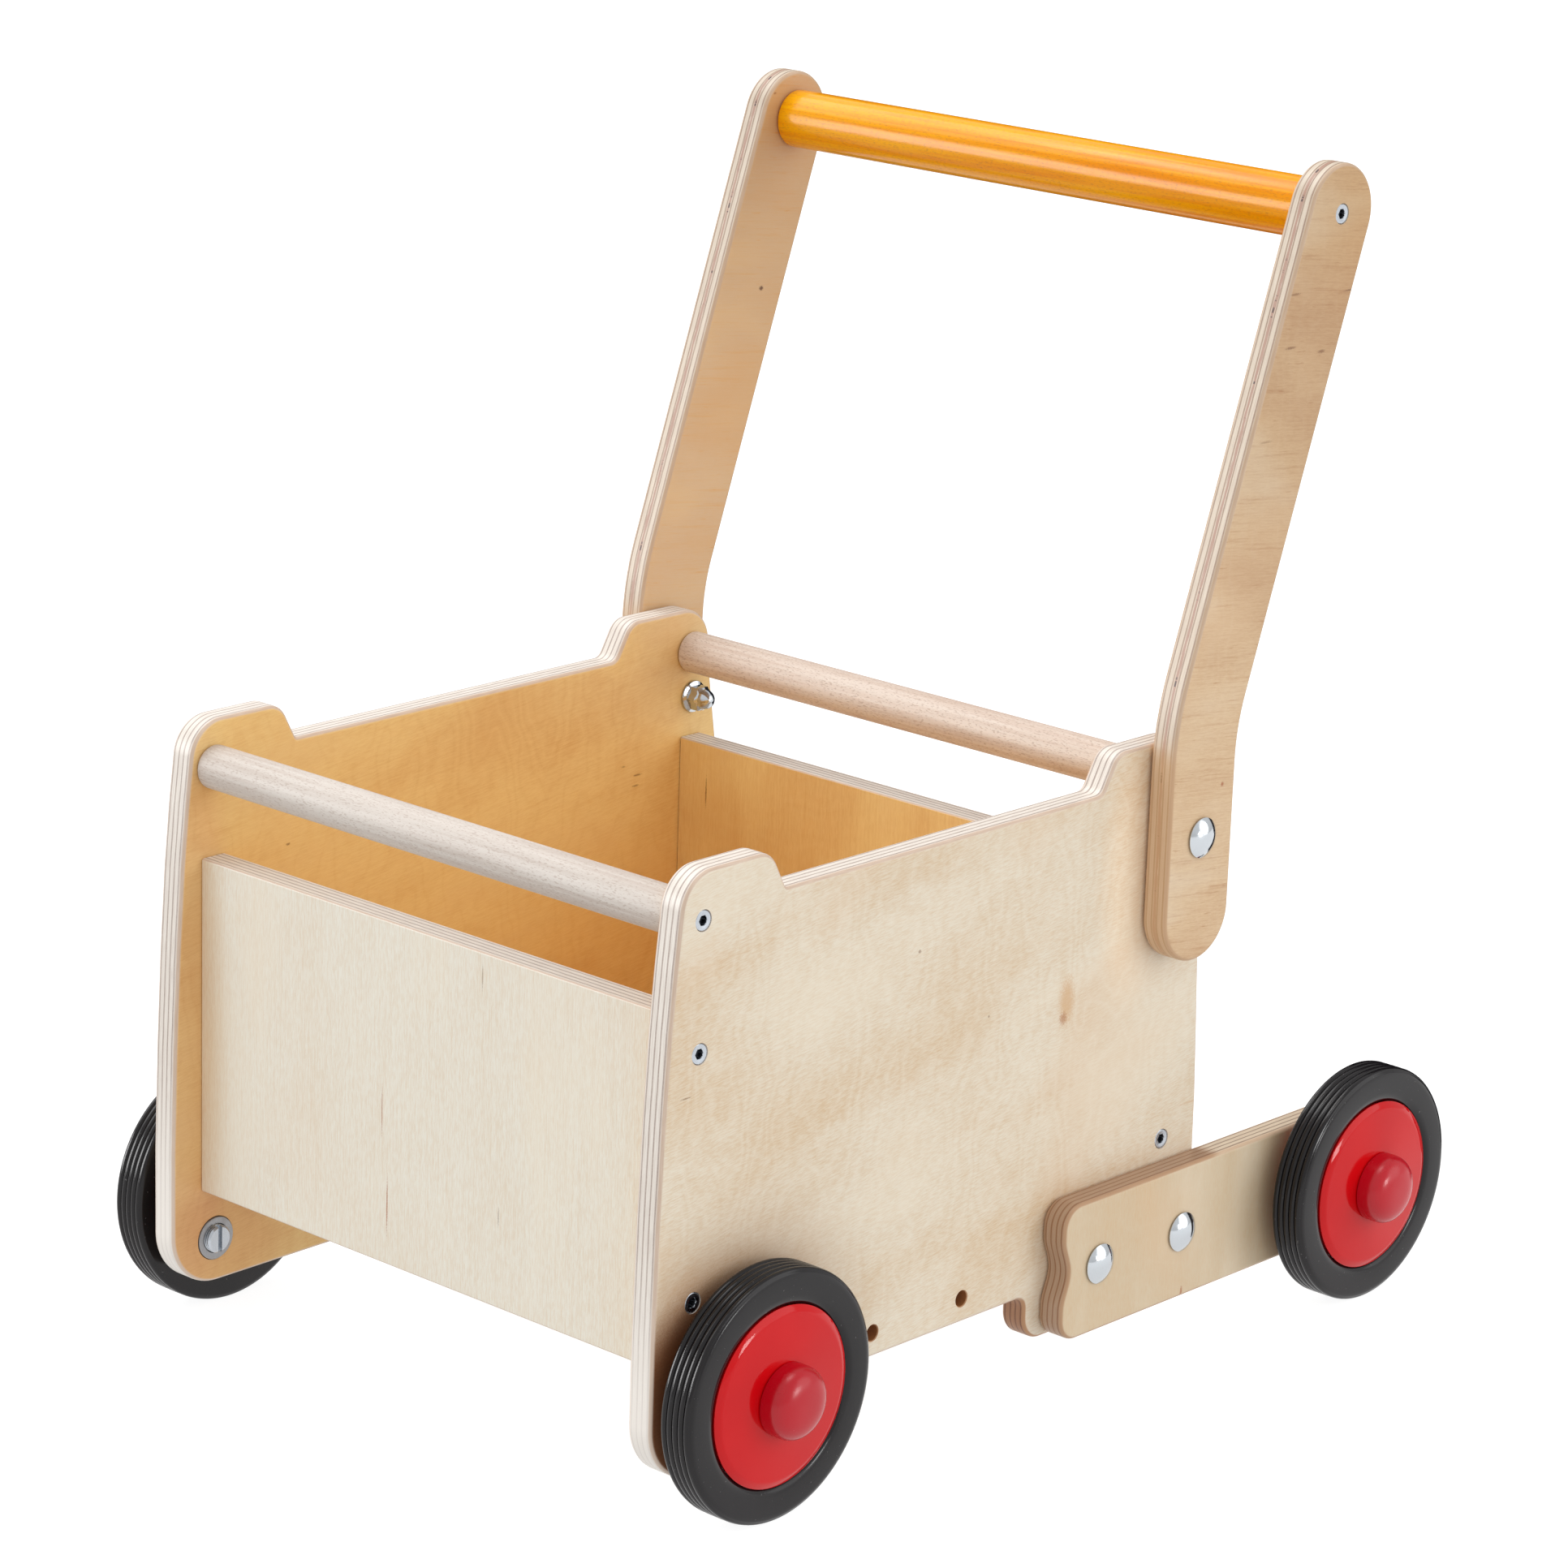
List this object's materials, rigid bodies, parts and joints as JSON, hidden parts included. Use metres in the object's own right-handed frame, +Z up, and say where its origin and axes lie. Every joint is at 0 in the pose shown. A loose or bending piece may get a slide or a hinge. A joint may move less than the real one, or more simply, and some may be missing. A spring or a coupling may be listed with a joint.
{
  "type": "push along truck",
  "caption": "Toddler's push-along wagon: a birch plywood load box on rubber-tyred wheels with a raised handle, screw brakes at the front and re-positionable rear wheel arms.",
  "frame": {"origin": "on the ground midway between the side panels, and midway between the front of the front tyres and the back of the rear tyres", "axes": "+X across the truck to its right side as seen by someone facing its front, -Y to the front, +Y to the handle, +Z up"},
  "size_m": [0.3786, 0.448, 0.479],
  "materials": {
    "birch_plywood": "clear satin lacquer over pale rotary-cut birch veneer, layered edges showing",
    "tan_plywood": "clear satin lacquer over tan birch veneer, layered edges showing",
    "beech": "turned beech with a clear satin lacquer",
    "orange_lacquer": "gloss transparent orange lacquer on turned beech",
    "red_lacquer": "gloss red lacquer",
    "red_plastic": "semi-gloss moulded red plastic",
    "tyre_rubber": "matt black rubber with ribbed tread",
    "bright_steel": "bright plated steel",
    "zinc_steel": "zinc plated steel",
    "pad_rubber": "matt black rubber"
  },
  "bodies": {
    "frame": {"front_panel": "birch_plywood", "back_panel": "birch_plywood", "floor_panel": "birch_plywood", "side_panel_right": "birch_plywood", "side_panel_left": "birch_plywood", "handle_arm_right": "tan_plywood", "wheel_arm_right": "tan_plywood", "handle_arm_left": "tan_plywood", "wheel_arm_left": "tan_plywood", "front_dowel": "beech", "rear_dowel": "beech", "handle_bar": "orange_lacquer", "hub_cap_front_right": "red_plastic", "axle_front_right": "zinc_steel", "hub_cap_front_left": "red_plastic", "axle_front_left": "zinc_steel", "hub_cap_rear_right": "red_plastic", "axle_rear_right": "zinc_steel", "hub_cap_rear_left": "red_plastic", "axle_rear_left": "zinc_steel", "handle_bolt_right": "bright_steel", "handle_cap_nut_right": "bright_steel", "arm_bolt_front_right": "bright_steel", "arm_cap_nut_front_right": "bright_steel", "arm_bolt_rear_right": "bright_steel", "arm_cap_nut_rear_right": "bright_steel", "bar_screw_right": "zinc_steel", "dowel_screw_right": "zinc_steel", "front_screw_upper_right": "zinc_steel", "front_screw_lower_right": "zinc_steel", "back_screw_upper_right": "zinc_steel", "back_screw_lower_right": "zinc_steel", "brake_insert_right": "zinc_steel", "handle_bolt_left": "bright_steel", "handle_cap_nut_left": "bright_steel", "arm_bolt_front_left": "bright_steel", "arm_cap_nut_front_left": "bright_steel", "arm_bolt_rear_left": "bright_steel", "arm_cap_nut_rear_left": "bright_steel", "bar_screw_left": "zinc_steel", "dowel_screw_left": "zinc_steel", "front_screw_upper_left": "zinc_steel", "front_screw_lower_left": "zinc_steel", "back_screw_upper_left": "zinc_steel", "back_screw_lower_left": "zinc_steel", "brake_insert_left": "zinc_steel"},
    "wheel_front_right": {"tyre_front_right": "tyre_rubber", "wheel_disc_front_right": "red_lacquer"},
    "wheel_front_left": {"tyre_front_left": "tyre_rubber", "wheel_disc_front_left": "red_lacquer"},
    "wheel_rear_right": {"tyre_rear_right": "tyre_rubber", "wheel_disc_rear_right": "red_lacquer"},
    "wheel_rear_left": {"tyre_rear_left": "tyre_rubber", "wheel_disc_rear_left": "red_lacquer"},
    "brake_knob_right": {"brake_screw_right": "zinc_steel"},
    "brake_shoe_right": {"brake_pad_right": "pad_rubber"},
    "brake_knob_left": {"brake_screw_left": "zinc_steel"},
    "brake_shoe_left": {"brake_pad_left": "pad_rubber"}
  },
  "joints": [
    {"name": "wheel_front_right_spin", "type": "hinge", "parent": "frame", "child": "wheel_front_right", "pos_m": [0.153, -0.174, 0.05], "axis": [1, 0, 0], "continuous": true},
    {"name": "wheel_front_left_spin", "type": "hinge", "parent": "frame", "child": "wheel_front_left", "pos_m": [-0.153, -0.174, 0.05], "axis": [1, 0, 0], "continuous": true},
    {"name": "wheel_rear_right_spin", "type": "hinge", "parent": "frame", "child": "wheel_rear_right", "pos_m": [0.1664, 0.174, 0.05], "axis": [1, 0, 0], "continuous": true},
    {"name": "wheel_rear_left_spin", "type": "hinge", "parent": "frame", "child": "wheel_rear_left", "pos_m": [-0.1664, 0.174, 0.05], "axis": [1, 0, 0], "continuous": true},
    {"name": "brake_right_turn", "type": "hinge", "parent": "brake_shoe_right", "child": "brake_knob_right", "pos_m": [0.1275, -0.1992, 0.0376], "axis": [1, 0, 0], "range_deg": [0, 1008]},
    {"name": "brake_right_press", "type": "slide", "parent": "frame", "child": "brake_shoe_right", "axis": [1, 0, 0], "range_m": [0, 0.0049]},
    {"name": "brake_left_turn", "type": "hinge", "parent": "brake_shoe_left", "child": "brake_knob_left", "pos_m": [-0.1275, -0.1992, 0.0376], "axis": [-1, 0, 0], "range_deg": [0, 1008]},
    {"name": "brake_left_press", "type": "slide", "parent": "frame", "child": "brake_shoe_left", "axis": [-1, 0, 0], "range_m": [0, 0.0049]}
  ],
  "couplings": [
    {"joint": "brake_right_turn", "follows": "brake_right_press", "rad_per_m": 3590},
    {"joint": "brake_left_turn", "follows": "brake_left_press", "rad_per_m": 3590}
  ]
}
